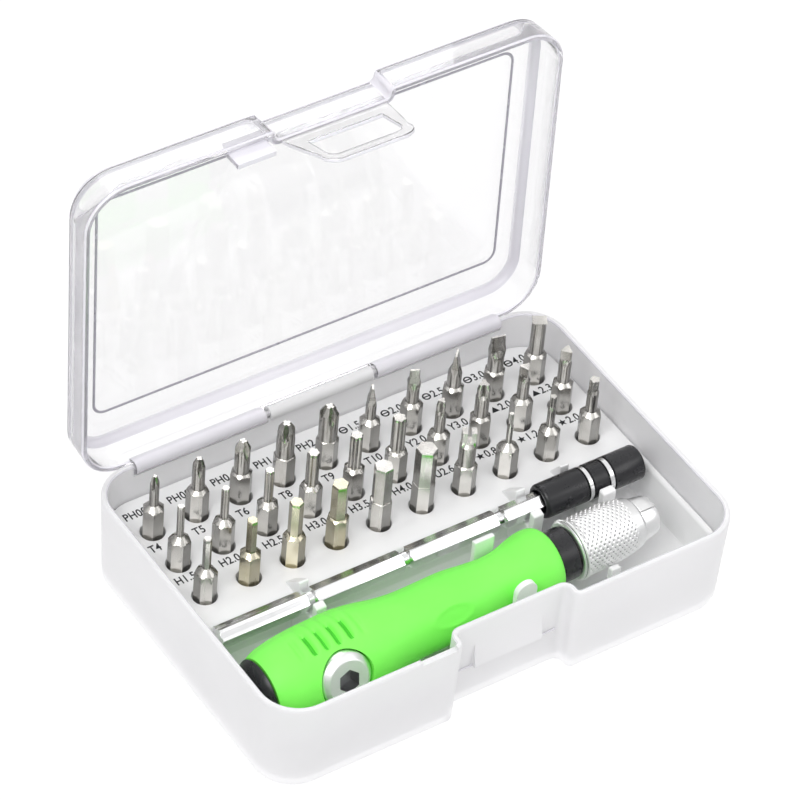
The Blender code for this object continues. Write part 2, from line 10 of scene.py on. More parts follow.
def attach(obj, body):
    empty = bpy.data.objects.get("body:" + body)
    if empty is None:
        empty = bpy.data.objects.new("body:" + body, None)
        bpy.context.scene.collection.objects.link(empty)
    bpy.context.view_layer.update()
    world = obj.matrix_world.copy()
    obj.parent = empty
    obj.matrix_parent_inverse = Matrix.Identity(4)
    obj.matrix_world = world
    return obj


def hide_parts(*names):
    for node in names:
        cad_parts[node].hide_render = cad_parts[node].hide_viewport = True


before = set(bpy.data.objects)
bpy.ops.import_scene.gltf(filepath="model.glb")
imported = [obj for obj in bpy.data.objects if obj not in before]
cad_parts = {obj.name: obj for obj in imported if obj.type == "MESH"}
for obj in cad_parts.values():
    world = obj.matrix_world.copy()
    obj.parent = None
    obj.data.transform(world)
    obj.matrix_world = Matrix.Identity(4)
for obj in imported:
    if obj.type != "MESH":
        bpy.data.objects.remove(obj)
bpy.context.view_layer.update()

MM = 0.001
TAU = 2 * math.pi

# Sizes shared with the CAD model, in millimetres
HALF_LENGTH, HALF_WIDTH, CORNER = 53.9, 36.3, 9.0
RIM_Z, LID_LOW, LID_TOP, LID_PANEL = 21.7, 22.0, 30.3, 0.9
RECESS_X, RECESS_HALF, BASE_RECESS, LID_RECESS = 0.2, 12.8, 3.6, 2.4
HINGE_Y, HINGE_Z, HINGE_R, HINGE_BORE = 35.75, 20.85, 1.5, 0.95
LID_TURN = math.radians(-91.3)
KNUCKLE_HALF, BARREL_START, BARREL_END = 12.1, 13.1, 43.0
DECK_Z, FLOOR_Z = 13.25, 3.6
GRID_X, GRID_Y, PITCH_X, PITCH_Y = 0.28, 15.3, 10.0, 9.8
ROD_Y, ROD_Z, ROD_TURN = -6.3, 14.65, math.radians(7.7)
SOCKET_X, SOCKET_TILT = -34.0, math.radians(21)
TAB_ROOT_Y, TAB_FLARE, TAB_HALF = -33.45, math.radians(-17), 0.45
CHANNEL_BACK_Y, TRAY_BOTTOM, HOLE_R = -2.5, 1.5, 2.5
BIT_TOP, BIT_BOTTOM, GRIP_BORE, SLEEVE_R = 29.1, 1.5, 4.5, 3.65
HANDLE_AT, HANDLE_TILT = (0, -20.08, 13.59), (0, -0.0196, 0.0147)
HANDLE = Matrix.Translation(HANDLE_AT) @ Euler(HANDLE_TILT).to_matrix().to_4x4()
OPEN = (Matrix.Translation((0, HINGE_Y, HINGE_Z)) @ Matrix.Rotation(LID_TURN, 4, "X")
        @ Matrix.Translation((0, -HINGE_Y, -HINGE_Z)))


# ---------------------------------------------------------------- materials

class Look:
    """Small helper around one material's node tree."""

    def __init__(self, name):
        self.material = bpy.data.materials.new(name)
        self.material.use_nodes = True
        self.tree = self.material.node_tree
        self.shader = self.tree.nodes["Principled BSDF"]
        self.coords = self.node("ShaderNodeTexCoord").outputs["Object"]

    def node(self, kind, **settings):
        made = self.tree.nodes.new(kind)
        for key, value in settings.items():
            setattr(made, key, value)
        return made

    def link(self, source, target):
        self.tree.links.new(source, target)

    def set(self, **values):
        for key, value in values.items():
            self.shader.inputs[key.replace("_", " ")].default_value = value
        return self

    def noise(self, scale, detail=4.0, stretch=(1, 1, 1), roughness=0.55):
        mapping = self.node("ShaderNodeMapping")
        mapping.inputs["Scale"].default_value = stretch
        self.link(self.coords, mapping.inputs["Vector"])
        noise = self.node("ShaderNodeTexNoise")
        noise.inputs["Scale"].default_value = scale
        noise.inputs["Detail"].default_value = detail
        noise.inputs["Roughness"].default_value = roughness
        self.link(mapping.outputs["Vector"], noise.inputs["Vector"])
        return noise.outputs["Fac"]

    def ramp(self, factor, stops):
        ramp = self.node("ShaderNodeValToRGB")
        while len(ramp.color_ramp.elements) < len(stops):
            ramp.color_ramp.elements.new(0.5)
        for element, (place, colour) in zip(ramp.color_ramp.elements, stops):
            element.position = place
            element.color = (*colour, 1.0) if len(colour) == 3 else colour
        self.link(factor, ramp.inputs["Fac"])
        return ramp.outputs["Color"]

    def colour(self, factor, dark, light, low=0.3, high=0.7):
        self.link(self.ramp(factor, [(low, dark), (high, light)]), self.shader.inputs["Base Color"])

    def roughness(self, factor, low, high):
        spread = self.node("ShaderNodeMapRange")
        spread.inputs["From Min"].default_value = 0.3
        spread.inputs["From Max"].default_value = 0.7
        spread.inputs["To Min"].default_value = low
        spread.inputs["To Max"].default_value = high
        self.link(factor, spread.inputs["Value"])
        self.link(spread.outputs["Result"], self.shader.inputs["Roughness"])

    def bump(self, factor, strength, distance):
        bump = self.node("ShaderNodeBump")
        bump.inputs["Strength"].default_value = strength
        bump.inputs["Distance"].default_value = distance
        self.link(factor, bump.inputs["Height"])
        self.link(bump.outputs["Normal"], self.shader.inputs["Normal"])


def plastic(name, dark, light, rough, transmission=0.0, bump=0.05, scale=260.0):
    look = Look(name)
    look.set(IOR=1.47, Transmission_Weight=transmission)
    cloud = look.noise(35.0, 3.0)
    grain = look.noise(scale, 4.0)
    look.colour(cloud, dark, light)
    look.roughness(grain, *rough)
    look.bump(grain, bump, 0.0002)
    return look


# Painted shade and highlight for the bits: facets turned one way are painted light, the others dark.
PAINTED_FACET_SHADE = ((0.0, 0.34), (0.14, 0.42), (0.30, 0.72), (0.42, 1.0), (0.56, 0.9), (0.72, 0.55),
               (0.88, 0.3), (1.0, 0.34))


def paint_facet_shade(look):
    """Multiply the colour by painted shade and highlight that follow each facet's own direction."""
    facing = look.node("ShaderNodeVectorMath", operation="DOT_PRODUCT")
    look.link(look.node("ShaderNodeTexCoord").outputs["Normal"], facing.inputs[0])
    facing.inputs[1].default_value = (0.79, -0.60, 0.0)
    spread = look.node("ShaderNodeMapRange")
    spread.inputs["From Min"].default_value = -1.0
    look.link(facing.outputs["Value"], spread.inputs["Value"])
    shade_tones = look.ramp(spread.outputs["Result"], [(place, (tone,) * 3) for place, tone in PAINTED_FACET_SHADE])
    mix = look.node("ShaderNodeMix", data_type="RGBA", blend_type="MULTIPLY")
    mix.inputs["Factor"].default_value = 1.0
    base = look.shader.inputs["Base Color"]
    look.link(base.links[0].from_socket, mix.inputs["A"])
    look.link(shade_tones, mix.inputs["B"])
    look.link(mix.outputs["Result"], base)


def metal(name, dark, light, rough, stretch, scale=900.0, bump=0.12, facet_shade=False):
    look = Look(name)
    look.set(Metallic=1.0)
    streak = look.noise(scale, 5.0, stretch)
    cloud = look.noise(180.0, 2.0)
    look.colour(cloud, dark, light)
    # Painted facet shade and highlight on top of the base colour.
    if facet_shade:
        paint_facet_shade(look)
    look.roughness(streak, *rough)
    look.bump(streak, bump, 0.00006)
    return look


CASE = plastic("case_clear", (0.90, 0.895, 0.91), (0.955, 0.95, 0.965),
               (0.30, 0.42), 0.22, 0.05).material
LID = plastic("lid_clear", (0.985, 0.98, 0.99), (0.999, 0.995, 1.0), (0.01, 0.05), 0.94, 0.01).material
# Lilac tint on rims, fillets and edges: painted shade where the clear plastic's edges look darker.
EDGE_SHADE = plastic("case_edge_painted_shade", (0.91, 0.89, 0.955), (0.95, 0.935, 0.985), (0.16, 0.25), 0.3, 0.03).material
# Dark lilac-grey painted shade: the contact-shadow line along the base's bottom edge, the lid's rim lines and
# the panel border.
LINE_SHADE = plastic("case_line_painted_shade", (0.50, 0.485, 0.56), (0.60, 0.58, 0.66), (0.2, 0.3), 0.3, 0.03).material
TRAY = plastic("tray_white", (0.87, 0.87, 0.875), (0.92, 0.92, 0.925), (0.34, 0.46), 0.0, 0.06).material
GREEN = plastic("grip_green", (0.20, 0.94, 0.095), (0.25, 0.98, 0.125),
                (0.46, 0.60), 0.0, 0.18, 900.0).material
# Darker green for painted shade in the grip's thumb grooves.
GROOVE_SHADE = plastic("grip_groove_painted_shade", (0.06, 0.52, 0.025), (0.09, 0.62, 0.04),
                 (0.5, 0.62), 0.0, 0.18, 900.0).material
BLACK = plastic("plastic_black", (0.010, 0.010, 0.012), (0.022, 0.022, 0.025),
                (0.22, 0.34), 0.0, 0.08).material
INK = plastic("label_ink", (0.008, 0.008, 0.010), (0.02, 0.02, 0.024), (0.6, 0.75), 0.0, 0.02).material
# Both bit metals carry the painted facet shade and highlight.
BIT = metal("bit_nickel", (0.72, 0.70, 0.66), (0.92, 0.90, 0.86), (0.16, 0.30), (1, 1, 0.06),
            facet_shade=True).material
GOLD = metal("bit_gold_tint", (0.78, 0.72, 0.52), (0.94, 0.89, 0.72), (0.16, 0.30), (1, 1, 0.06),
             facet_shade=True).material
CHROME = metal("rod_chrome", (0.84, 0.84, 0.85), (0.93, 0.93, 0.94), (0.12, 0.24), (0.05, 1, 1)).material
ALU = metal("aluminium_bright", (0.95, 0.95, 0.95), (0.99, 0.99, 0.99),
            (0.30, 0.42), (1, 1, 1), 500.0).material
# Dark metal painted as shadow in the knurl pits, the chuck's edge groove and the socket's hex hole.
PIT_SHADE = metal("knurl_shadow", (0.28, 0.28, 0.29), (0.40, 0.40, 0.41),
            (0.4, 0.5), (1, 1, 1), 500.0).material


# ---------------------------------------------------------------- mesh helpers

def finish_mesh(name, bm, material, body, replaces=(), smooth=32.0, matrix=None, extra=()):
    """Closed bmesh in millimetres to a named, shaded piece on a body."""
    if matrix is not None:
        bmesh.ops.transform(bm, matrix=matrix, verts=bm.verts)
    bmesh.ops.remove_doubles(bm, verts=bm.verts, dist=1e-5)
    bmesh.ops.recalc_face_normals(bm, faces=bm.faces)
    bmesh.ops.scale(bm, vec=(MM, MM, MM), verts=bm.verts)
    mesh = bpy.data.meshes.new(name)
    bm.to_mesh(mesh)
    bm.free()
    mesh.shade_smooth()
    mesh.set_sharp_from_angle(angle=math.radians(smooth))
    piece = bpy.data.objects.new(name, mesh)
    bpy.context.scene.collection.objects.link(piece)
    for each in (material, *extra):
        mesh.materials.append(each)
    if body:
        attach(piece, body)
    if replaces:
        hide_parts(*replaces)
    return piece


def ring(bm, points):
    return [bm.verts.new(point) for point in points]


def bridge(bm, first, second, index=0):
    count = len(first)
    for i in range(count):
        j = (i + 1) % count
        bm.faces.new((first[i], first[j], second[j], second[i])).material_index = index


def fan(bm, loop, index=0):
    """Domed or flat end: triangles from the loop's middle."""
    middle = bm.verts.new(sum((vert.co for vert in loop), Vector()) / len(loop))
    for first, second in zip(loop, loop[1:] + loop[:1]):
        bm.faces.new((first, second, middle)).material_index = index


def cap(bm, *loops):
    """Flat face with holes: the first loop filled, less the others."""
    edges = []
    for loop in loops:
        for first, second in zip(loop, loop[1:] + loop[:1]):
            edge = bm.edges.get((first, second)) or bm.edges.new((first, second))
            edges.append(edge)
    bmesh.ops.triangle_fill(bm, edges=edges, use_beauty=True)


def flat(points, z):
    return [(x, y, z) for x, y in points]


def arc(cx, cy, radius, start, end, segments):
    angles = [math.radians(start + (end - start) * i / segments) for i in range(segments + 1)]
    return [(cx + radius * math.cos(a), cy + radius * math.sin(a)) for a in angles]


def circle(cx, cy, radius, count=48):
    angles = [TAU * i / count for i in range(count)]
    return [(cx + radius * math.cos(a), cy + radius * math.sin(a)) for a in angles]


def case_outline(inset, depth):
    """Plan outline with round corners and the front recess, moved inwards by inset."""
    hx, front, rear = HALF_LENGTH - inset, -HALF_WIDTH + inset, HALF_WIDTH - inset
    corner = max(CORNER - inset, 1.0)
    left, right = RECESS_X - RECESS_HALF - inset, RECESS_X + RECESS_HALF + inset
    outer = max(min(2.6, depth / 2) - inset, 0.4)
    inner = min(1.2 + inset, depth - outer - 0.05)
    deep = front + depth
    points = arc(-hx + corner, front + corner, corner, 180, 270, 16)
    points += arc(left - outer, front + outer, outer, -90, 0, 8)
    points += arc(left + inner, deep - inner, inner, 180, 90, 8)
    points += arc(right - inner, deep - inner, inner, 90, 0, 8)
    points += arc(right + outer, front + outer, outer, 180, 270, 8)
    points += arc(hx - corner, front + corner, corner, -90, 0, 16)
    points += arc(hx - corner, rear - corner, corner, 0, 90, 16)
    points += arc(-hx + corner, rear - corner, corner, 90, 180, 16)
    return points


def prism_x(bm, profile, low, high, index=0):
    first = ring(bm, [(low, y, z) for y, z in profile])
    second = ring(bm, [(high, y, z) for y, z in profile])
    bridge(bm, first, second, index)
    cap(bm, first)
    cap(bm, second)


def box(bm, low, high):
    centre, size = (Vector(low) + Vector(high)) / 2, Vector(high) - Vector(low)
    place = Matrix.Translation(centre) @ Matrix.Diagonal((*size, 1.0))
    bmesh.ops.create_cube(bm, size=1.0, matrix=place)


def cut(target, operation, bm, matrix=None):
    """Boolean with a throw-away helper, applied at once."""
    helper = finish_mesh("helper", bm, None, None, matrix=matrix)
    modifier = target.modifiers.new("cut", "BOOLEAN")
    modifier.operation = operation
    modifier.solver = "EXACT"
    modifier.object = helper
    bpy.context.view_layer.objects.active = target
    with bpy.context.temp_override(object=target, active_object=target):
        bpy.ops.object.modifier_apply(modifier=modifier.name)
    bpy.data.objects.remove(helper)
    target.data.shade_smooth()
    target.data.set_sharp_from_angle(angle=math.radians(32))


def soften(piece, width, segments=3, angle=35.0):
    """Small rounded edges on a moulded piece."""
    bevel = piece.modifiers.new("edge", "BEVEL")
    bevel.width = width * MM
    bevel.segments = segments
    bevel.limit_method = "ANGLE"
    bevel.angle_limit = math.radians(angle)
    bevel.harden_normals = True


# ---------------------------------------------------------------- case

def tub(outer, inner, depth):
    """Shell from (z, inset, material) stations outside and inside."""
    bm = bmesh.new()
    loops = []
    for z, inset, index in outer + inner:
        loops.append((ring(bm, flat(case_outline(inset, depth), z)), index))
    for (low, _), (high, index) in zip(loops, loops[1:]):
        bridge(bm, low, high, index)
    cap(bm, loops[0][0])
    cap(bm, loops[-1][0])
    return bm


def rounded(z0, inset0, z1, inset1, steps, index, swap=False):
    """Quarter-ellipse of stations between two points of a profile."""
    out = []
    for i in range(1, steps + 1):
        a = math.pi / 2 * i / steps
        s, c = (1 - math.cos(a), math.sin(a)) if swap else (math.sin(a), 1 - math.cos(a))
        out.append((z0 + (z1 - z0) * s, inset0 + (inset1 - inset0) * c, index))
    return out


def make_base():
    # The bottom edge bands take material 2, the painted contact-shadow line.
    outer = [(0.0, 1.7, 0), (0.06, 1.3, 2), (0.2, 1.02, 2)]
    outer += rounded(0.2, 1.02, 1.6, 0.58, 4, 0, swap=True)
    outer += [(8.0, 0.42, 0), (20.9, 0.02, 0)] + rounded(20.9, 0.02, RIM_Z, 0.35, 4, 0)
    # The inner rim fillet takes material 1, the painted edge shade.
    inner = [(RIM_Z, 0.95, 0)] + rounded(RIM_Z, 0.95, 21.3, 1.3, 3, 1, swap=True)
    inner += [(12.0, 1.45, 0), (2.6, 1.62, 0)] + rounded(2.6, 1.62, 1.2, 2.8, 4, 0)
    base = finish_mesh("base_shell", tub(outer, inner, BASE_RECESS), CASE, "case",
                       ["case_base"], extra=(EDGE_SHADE, LINE_SHADE))
    holes = bmesh.new()
    for side in (-1, 1):
        ends = sorted((side * 12.5, side * 43.3))
        box(holes, (ends[0], 33.6, HINGE_Z - HINGE_R - 0.3), (ends[1], 38.0, 24.0))
    box(holes, (-22.4, -38.0, RIM_Z - 0.8), (-14.4, -33.6, 24.0))
    cut(base, "DIFFERENCE", holes)
    added = bmesh.new()
    prism_x(added, circle(HINGE_Y, HINGE_Z, HINGE_R, 32), -KNUCKLE_HALF, KNUCKLE_HALF)
    ledge = [(-32.35, 17.2), (-33.35, 11.0), (-33.5, 10.5), (-33.5, 9.9), (-33.25, 9.65), (-31.9, 9.65),
             (-31.9, 17.2)]
    prism_x(added, ledge, RECESS_X - 7.8, RECESS_X + 7.8)
    cut(base, "UNION", added)
    bore = bmesh.new()
    prism_x(bore, circle(HINGE_Y, HINGE_Z, HINGE_BORE, 24), -14.0, 14.0)
    cut(base, "DIFFERENCE", bore)
    # Thin strip along the recess ledge in the painted edge shade.
    step_line = bmesh.new()
    prism_x(step_line, [(-32.5, 9.75), (-32.62, 9.75), (-32.62, 10.0), (-32.5, 10.05)], -11.4, 11.8)
    finish_mesh("recess_step", step_line, EDGE_SHADE, "case")
    soften(base, 0.18, 2, 40)


def lid_stations():
    # Material 1 bands are the painted edge shade, material 2 bands the painted shade lines at the rim.
    outer = [(LID_TOP, 1.9, 0)] + rounded(LID_TOP, 1.9, 28.6, 0.42, 6, 1) + [(28.45, 0.4, 2)]
    outer += [(LID_LOW + 0.5, 0.0, 0), (LID_LOW + 0.34, 0.0, 2)]
    outer += rounded(LID_LOW + 0.34, 0.0, LID_LOW, 0.25, 3, 1)
    inner = [(LID_LOW, 0.85, 0), (LID_LOW, 1.0, 2), (LID_LOW + 0.3, 1.2, 1), (27.6, 1.6, 0)]
    inner += rounded(27.6, 1.6, LID_TOP - LID_PANEL, 3.2, 6, 1)
    return outer, inner


def make_lid():
    outer, inner = lid_stations()
    lid = finish_mesh("lid_shell", tub(outer, inner, LID_RECESS), LID, "lid",
                      ["case_lid"], extra=(EDGE_SHADE, LINE_SHADE))
    middle = bmesh.new()
    box(middle, (-12.8, 34.2, 20.0), (12.8, 38.0, HINGE_Z + HINGE_R + 0.35))
    cut(lid, "DIFFERENCE", middle)
    # Hinge barrels and the latch lug take material 1, the painted edge shade.
    added = bmesh.new()
    for side in (-1, 1):
        low, high = sorted((side * BARREL_START, side * BARREL_END))
        barrel = [(HINGE_Y + HINGE_R * math.cos(a), HINGE_Z + HINGE_R * math.sin(a))
                  for a in (math.radians(150 + i * 240 / 24) for i in range(25))]
        prism_x(added, barrel + [(36.1, 23.2), (35.3, 23.2)], low, high, 1)
    lug = [(-35.6, 24.6), (-35.6, 22.3), (-34.7, 22.3), (-34.7, 18.7), (-33.6, 18.7), (-33.6, 23.8),
           (-34.6, 24.6)]
    prism_x(added, lug, -23.0, -14.6, 1)
    cut(lid, "UNION", added)
    bore = bmesh.new()
    prism_x(bore, circle(HINGE_Y, HINGE_Z, HINGE_BORE, 24), -44.0, 44.0)
    cut(lid, "DIFFERENCE", bore)
    # The lid's recess side walls take the painted edge shade.
    for face in lid.data.polygons:
        beside = abs(face.center.x / MM - RECESS_X)
        if face.center.y / MM < -32.0 and 11.0 < beside < 16.5 and abs(face.normal.x) > 0.3:
            face.material_index = 1
    soften(lid, 0.15, 2, 40)
    lid.data.transform(Matrix.Scale(MM, 4) @ OPEN @ Matrix.Scale(1 / MM, 4))


def make_panel_border():
    """Thin raised line that frames the lid's panel, coloured with the painted shade line."""
    bm = bmesh.new()

    def frame_line(inset, z):
        hx, low, high, r = 47.4 - inset, -27.6 + inset, 27.4 - inset, 3.0 - inset
        points = arc(-hx + r, low + r, r, 180, 270, 8) + arc(hx - r, low + r, r, -90, 0, 8)
        points += arc(hx - r, high - r, r, 0, 90, 8) + arc(-hx + r, high - r, r, 90, 180, 8)
        return flat(points, z)

    top = LID_TOP - LID_PANEL
    loops = [ring(bm, frame_line(i, z)) for i, z in
             ((0.0, top + 0.1), (0.1, top - 0.1), (0.3, top - 0.14), (0.5, top - 0.1), (0.6, top + 0.1))]
    for low, high in zip(loops, loops[1:] + loops[:1]):
        bridge(bm, low, high)
    finish_mesh("lid_panel_border", bm, LINE_SHADE, "lid", matrix=OPEN)


def make_tab():
    half = [(0.15, 11.8), (2.0, 11.7), (6.0, 10.9), (9.0, 10.35)]
    outline = [(x, -d) for d, x in half] + arc(6.7, -11.7, 3.3, 15, -90, 10)
    outline += [(-x, z) for x, z in reversed(outline)]
    window = arc(6.2, -10.4, 2.0, -90, 0, 8) + [(8.2, -4.1), (-8.2, -4.1)]
    window += arc(-6.2, -10.4, 2.0, 180, 270, 8)
    bm = bmesh.new()
    loops = [ring(bm, [(x, y, z) for x, z in points])
             for points in (outline, window) for y in (-TAB_HALF, TAB_HALF)]
    # The tab plate's rims take material 1, the painted edge shade.
    bridge(bm, loops[0], loops[1], 1)
    bridge(bm, loops[2], loops[3], 1)
    cap(bm, loops[0], loops[2])
    cap(bm, loops[1], loops[3])
    root = Matrix.Translation((RECESS_X, TAB_ROOT_Y, RIM_Z))
    place = OPEN @ root @ Matrix.Rotation(TAB_FLARE, 4, "X")
    tab = finish_mesh("latch_tab_plate", bm, LID, "latch", ["latch_tab"], matrix=place,
                      extra=(EDGE_SHADE,))
    soften(tab, 0.3, 3, 40)


# ---------------------------------------------------------------- tray

def hole_places():
    for row, offset in enumerate((1, 0, -1)):
        for column in range(10):
            yield row, column, GRID_X + (column - 4.5) * PITCH_X, GRID_Y + offset * PITCH_Y


def channel_outline(inset):
    inset_case = 2.95 + inset
    hx, back = HALF_LENGTH - inset_case, CHANNEL_BACK_Y - inset
    points = case_outline(inset_case, BASE_RECESS)[:-34]
    points += arc(hx - 1.5, back - 1.5, 1.5, 0, 90, 6)
    points += arc(-hx + 1.5, back - 1.5, 1.5, 90, 180, 6)
    return points


def make_tray():
    bm = bmesh.new()
    skirt = [ring(bm, flat(case_outline(inset, BASE_RECESS), z))
             for z, inset in ((TRAY_BOTTOM, 3.2), (2.7, 1.95), (12.9, 1.75), (13.15, 1.85), (DECK_Z, 2.1))]
    for low, high in zip(skirt, skirt[1:]):
        bridge(bm, low, high)
    channel = [ring(bm, flat(channel_outline(inset), z)) for z, inset in
               ((DECK_Z, -0.9), (13.18, -0.6), (12.98, -0.3), (12.7, -0.1), (12.3, 0.0), (4.6, 0.05),
                (3.9, 0.3), (FLOOR_Z, 0.8))]
    for low, high in zip(channel, channel[1:]):
        bridge(bm, low, high)
    cap(bm, channel[-1])
    tops, bottoms = [], []
    for _, _, x, y in hole_places():
        steps = [ring(bm, flat(circle(x, y, radius, 40), z)) for z, radius in
                 ((DECK_Z, HOLE_R + 0.18), (DECK_Z - 0.05, HOLE_R + 0.08), (DECK_Z - 0.2, HOLE_R),
                  (TRAY_BOTTOM, HOLE_R))]
        for low, high in zip(steps, steps[1:]):
            bridge(bm, low, high)
        tops.append(steps[0])
        bottoms.append(steps[-1])
    cap(bm, skirt[-1], channel[0], *tops)
    cap(bm, skirt[0], *bottoms)
    finish_mesh("tray_deck", bm, TRAY, "case", ["insert_tray"])


def clip_piece(name, profile, low, high, edge=0.35):
    bm = bmesh.new()
    prism_x(bm, profile, low, high)
    piece = finish_mesh(name, bm, TRAY, "case")
    soften(piece, edge, 3, 30)


def fin_profile(back):
    """Sloping fin that stands on the deck's edge behind the extension."""
    return [(back, 12.2), (0.9, 12.2), (0.9, 13.4), (back + 0.5, 17.2), (back, 17.2)]


def make_clips():
    front, back = ROD_Y - 2.45, ROD_Y + 2.45
    for side, x in (("left", -28.2), ("middle", 22.4)):
        post = [(front - 1.7, 3.3), (-2.0, 3.3), (-2.0, 12.0), (front, 12.0), (front, 16.3),
                (front - 1.7, 15.9)]
        clip_piece("rod_clip_post_" + side, post, x - 1.2, x + 1.2)
        clip_piece("rod_clip_fin_" + side, fin_profile(back), x - 1.1, x + 1.1)
    front, back = ROD_Y - 3.95, ROD_Y + 3.95
    post = [(front - 1.9, 3.3), (back - 1.2, 3.3), (back - 1.2, 10.7), (front, 10.7), (front, 16.3),
            (front - 1.9, 16.3)]
    clip_piece("sleeve_clip_post", post, 36.7, 39.9, 0.6)
    clip_piece("sleeve_clip_fin", fin_profile(back), 32.9, 35.1)
    y, z, radius, wall = -19.97, 13.75, 6.75, 1.25
    saddle = [(y - radius - wall, 3.3), (y + radius + wall, 3.3), (y + radius + wall, 19.2),
              (y + radius, 19.4)]
    saddle += arc(y, z, radius, 0, -180, 24)
    saddle += [(y - radius, 14.6), (y - radius - wall, 14.6)]
    clip_piece("handle_saddle", saddle, 5.0, 9.8)
    bm = bmesh.new()
    dome = [(x, up) for x, up in arc(7.4, 18.0, 2.35, 0, 180, 20)] + [(5.05, 13.0), (9.75, 13.0)]
    depths = (y - radius - wall - 0.03, y - radius - 0.02)
    faces = [ring(bm, [(x, depth, up) for x, up in dome]) for depth in depths]
    bridge(bm, *faces)
    for face in faces:
        cap(bm, face)
    soften(finish_mesh("saddle_dome", bm, TRAY, "case"), 0.45, 3, 30)
    for side, (low, high) in (("front", (-27.5, -26.2)), ("rear", (-13.1, -11.8))):
        clip_piece("nose_post_" + side, [(low, 3.3), (high, 3.3), (high, 12.8), (low, 13.0)], 28.4, 30.6)


LABELS = (("PH000", "PH00", "PH0", "PH1", "PH2", "-1.5", "-2.0", "-2.5", "-3.0", "-4.0"),
          ("T4", "T5", "T6", "T8", "T9", "T10", "Y2.0", "Y3.0", "^2.0", "^2.3"),
          ("H1.5", "H2.0", "H2.5", "H3.0", "H3.5", "H4.0", "U2.6", "*0.8", "*1.2", "*2.0"))


def sign_mesh(bm, kind, x, y, z):
    """Small printed sign for a tip shape: ring with a bar, filled triangle or star."""
    if kind == "-":
        for i in range(24):
            a, b = TAU * i / 24, TAU * (i + 1) / 24
            corners = ((0.62, a), (0.95, a), (0.95, b), (0.62, b))
            quad = [(x + r * math.cos(t), y + r * math.sin(t), z) for r, t in corners]
            bm.faces.new(ring(bm, quad))
        bm.faces.new(ring(bm, [(x - 0.7, y - 0.15, z), (x + 0.7, y - 0.15, z), (x + 0.7, y + 0.15, z),
                               (x - 0.7, y + 0.15, z)]))
        return
    if kind == "^":
        bm.faces.new(ring(bm, [(x - 0.9, y - 0.75, z), (x + 0.9, y - 0.75, z), (x, y + 0.8, z)]))
        return
    points = [(x + r * math.cos(a), y + r * math.sin(a), z) for r, a in
              ((1.0 if i % 2 == 0 else 0.42, math.pi / 2 + TAU * i / 10) for i in range(10))]
    fan(bm, ring(bm, points))


def make_labels():
    """All printed size labels joined into one thin piece on the deck."""
    bm = bmesh.new()
    height = DECK_Z + 0.03
    for row, column, x, y in hole_places():
        text = LABELS[row][column]
        start = x - 3.2
        if text[0] in "-^*":
            sign_mesh(bm, text[0], start + 0.95, y + 5.6, height)
            start += 2.1
            text = text[1:]
        curve = bpy.data.curves.new("label", "FONT")
        curve.body = text
        curve.size = 2.75
        curve.offset = 0.045
        curve.space_character = 1.05
        thing = bpy.data.objects.new("label", curve)
        bpy.context.scene.collection.objects.link(thing)
        bpy.context.view_layer.update()
        evaluated = thing.evaluated_get(bpy.context.evaluated_depsgraph_get())
        mesh = bpy.data.meshes.new_from_object(evaluated)
        narrow = Matrix.Diagonal((0.82, 1.0, 1.0, 1.0))
        mesh.transform(Matrix.Translation((start, y + 4.7, height)) @ narrow)
        bm.from_mesh(mesh)
        bpy.data.objects.remove(thing)
        bpy.data.meshes.remove(mesh)
    finish_mesh("size_labels", bm, INK, "case")


# ---------------------------------------------------------------- bits

def polygon_radius(sides, apothem, angle):
    step = TAU / sides
    return apothem / math.cos((angle % step) - step / 2)


def bar_radius(half_long, half_thin, angle):
    c, s = abs(math.cos(angle)), abs(math.sin(angle))
    return min(half_long / max(c, 1e-6), half_thin / max(s, 1e-6))


def lobe_radius(lobes, outer, inner, angle):
    return inner + (outer - inner) * (0.5 + 0.5 * math.cos(lobes * angle)) ** 0.8


BITS = ((("ph", 0.95), ("ph", 1.3), ("ph", 1.55), ("ph", 1.85), ("ph", 1.95),
         ("sl", 1.5), ("sl", 2.0), ("sl", 2.5), ("sl", 3.0), ("post", 3.0)),
        (("torx", 1.5), ("torx", 1.7), ("torx", 1.95), ("torx", 2.6), ("torx", 2.7), ("torx", 2.9),
         ("wye", 2.1), ("wye", 3.0), ("tri", 2.4), ("tri", 2.6)),
        (("hex", 1.5), ("hex", 2.0), ("hex", 2.5), ("hex", 3.0), ("hex", 3.5), ("hex", 3.85), ("fork", 2.8),
         ("star", 1.0), ("star", 1.4), ("star", 2.1)))
NAMES = (("ph000", "ph00", "ph0", "ph1", "ph2", "sl1_5", "sl2_0", "sl2_5", "sl3_0", "sl4_0"),
         ("t4", "t5", "t6", "t8", "t9", "t10", "y2_0", "y3_0", "tri2_0", "tri2_3"),
         ("h1_5", "h2_0", "h2_5", "h3_0", "h3_5", "h4_0", "u2_6", "p0_8", "p1_2", "p2_0"))
BLADE_TURNS = {"sl1_5": 62, "sl2_0": -26, "sl2_5": 46, "sl3_0": -12, "sl4_0": -30, "u2_6": -30}
SHOULDER_Z = 19.75
TIP_STATIONS = (0.08, 0.2, 0.3, 0.4, 0.5, 0.58, 0.66, 0.74, 0.8, 0.86, 0.9, 0.94, 0.97, 1.0)


def shaft_size(kind, size):
    return {"ph": size, "sl": min(0.55 + size * 0.36, 1.7), "post": 1.5, "torx": size / 2 + 0.05,
            "wye": size * 0.36 + 0.35, "tri": size * 0.42 + 0.2, "hex": size / 2 * 1.1, "fork": 1.7,
            "star": size / 2 + 0.12}[kind]


